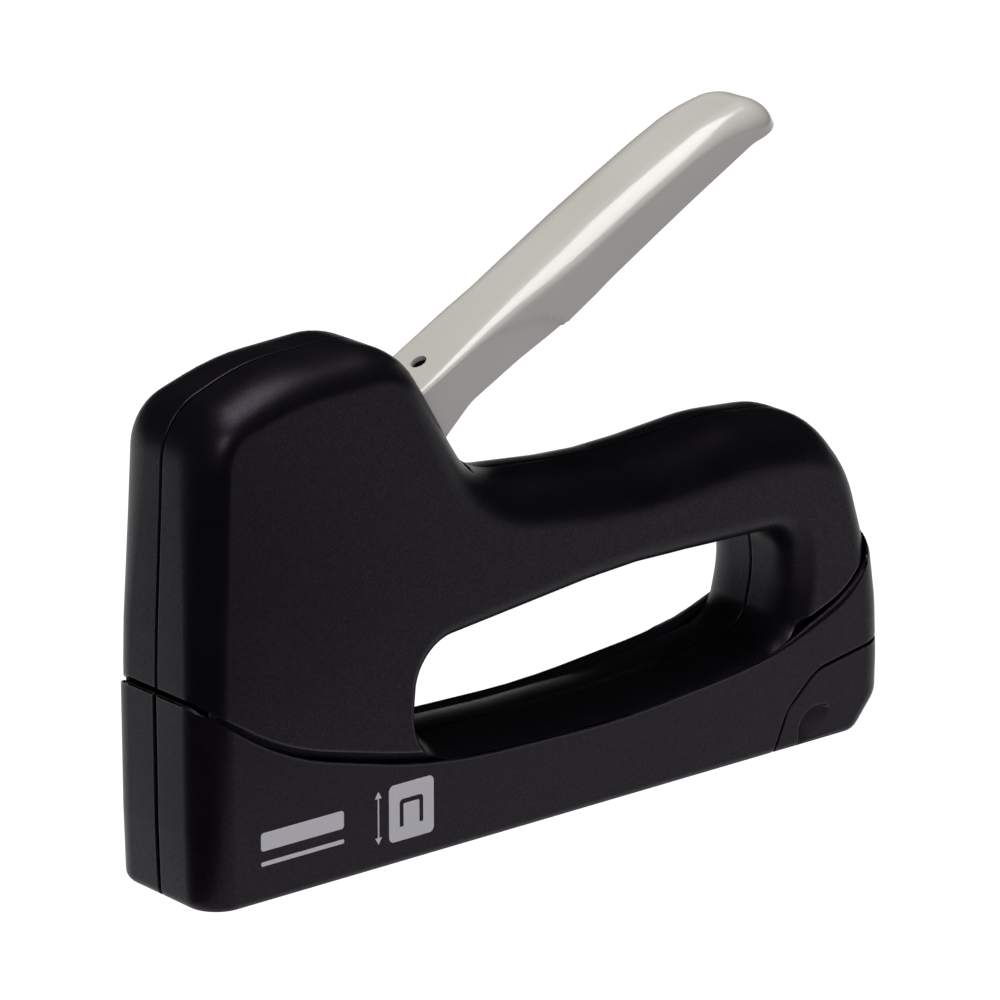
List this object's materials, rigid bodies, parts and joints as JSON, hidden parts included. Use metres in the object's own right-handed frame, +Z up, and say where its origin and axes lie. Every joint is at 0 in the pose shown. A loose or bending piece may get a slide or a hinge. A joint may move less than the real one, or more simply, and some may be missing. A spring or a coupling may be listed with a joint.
{
  "type": "hand staple gun",
  "caption": "Hand-squeezed staple gun with a black plastic body, a finger opening under the grip, a raised sheet-metal squeeze lever and a rear-loading magazine.",
  "frame": {"origin": "centre of the bounding box at the base, under the middle of the tool", "axes": "+X from the nose to the tail, +Y across the width away from the near side in the picture, +Z up from the base"},
  "size_m": [0.1615, 0.0288, 0.1245],
  "materials": {
    "body_plastic": "fine-textured near-black moulding",
    "cover_plastic": "fine-textured near-black moulding",
    "lever_paint": "glossy warm light grey paint on pressed steel",
    "bright_steel": "plain bright steel",
    "dark_steel": "hardened dark steel",
    "black_screw": "black oxide",
    "buffer_rubber": "moulded rubber"
  },
  "bodies": {
    "housing": {"body_shell_left": "body_plastic", "body_shell_right": "body_plastic", "lower_cover_left": "cover_plastic", "lower_cover_right": "cover_plastic", "lever_pivot_pin": "bright_steel", "lever_return_spring": "bright_steel", "drive_spring": "bright_steel", "spring_cap": "dark_steel", "impact_buffer": "buffer_rubber", "guide_frame": "bright_steel", "nose_plate": "bright_steel", "magazine_channel": "bright_steel", "housing_screw_1": "black_screw", "housing_screw_2": "black_screw", "housing_screw_3": "black_screw", "housing_screw_4": "black_screw", "cover_screw_1": "black_screw", "cover_screw_2": "black_screw"},
    "lever_body": {"lever": "lever_paint", "lifting_tongue": "dark_steel"},
    "plunger_body": {"plunger": "dark_steel", "driver_blade": "bright_steel"},
    "magazine_drawer": {"magazine_end_cap": "cover_plastic", "end_cap_rivet": "bright_steel", "magazine_rail": "bright_steel", "follower_rod": "bright_steel", "follower_spring": "bright_steel"},
    "follower_body": {"follower": "dark_steel"}
  },
  "joints": [
    {"name": "lever_hinge", "type": "hinge", "parent": "housing", "child": "lever_body", "pos_m": [-0.036, 0, 0.072], "axis": [0, 1, 0], "range_deg": [0, 22.9], "stiffness_Nm_per_rad": 4.4, "springref_deg": -14.32, "deforming": ["lever_return_spring"]},
    {"name": "plunger_slide", "type": "slide", "parent": "housing", "child": "plunger_body", "axis": [0, 0, 1], "range_m": [0, 0.0103], "deforming": ["drive_spring"]},
    {"name": "magazine_pull", "type": "slide", "parent": "housing", "child": "magazine_drawer", "axis": [1, 0, 0], "range_m": [0, 0.075]},
    {"name": "follower_slide", "type": "slide", "parent": "magazine_drawer", "child": "follower_body", "axis": [1, 0, 0], "range_m": [0, 0.09], "stiffness_N_per_m": 30, "springref_m": -0.1, "deforming": ["follower_spring"]}
  ],
  "couplings": [
    {"joint": "plunger_slide", "follows": "lever_hinge", "m_per_rad": 0.02543}
  ]
}
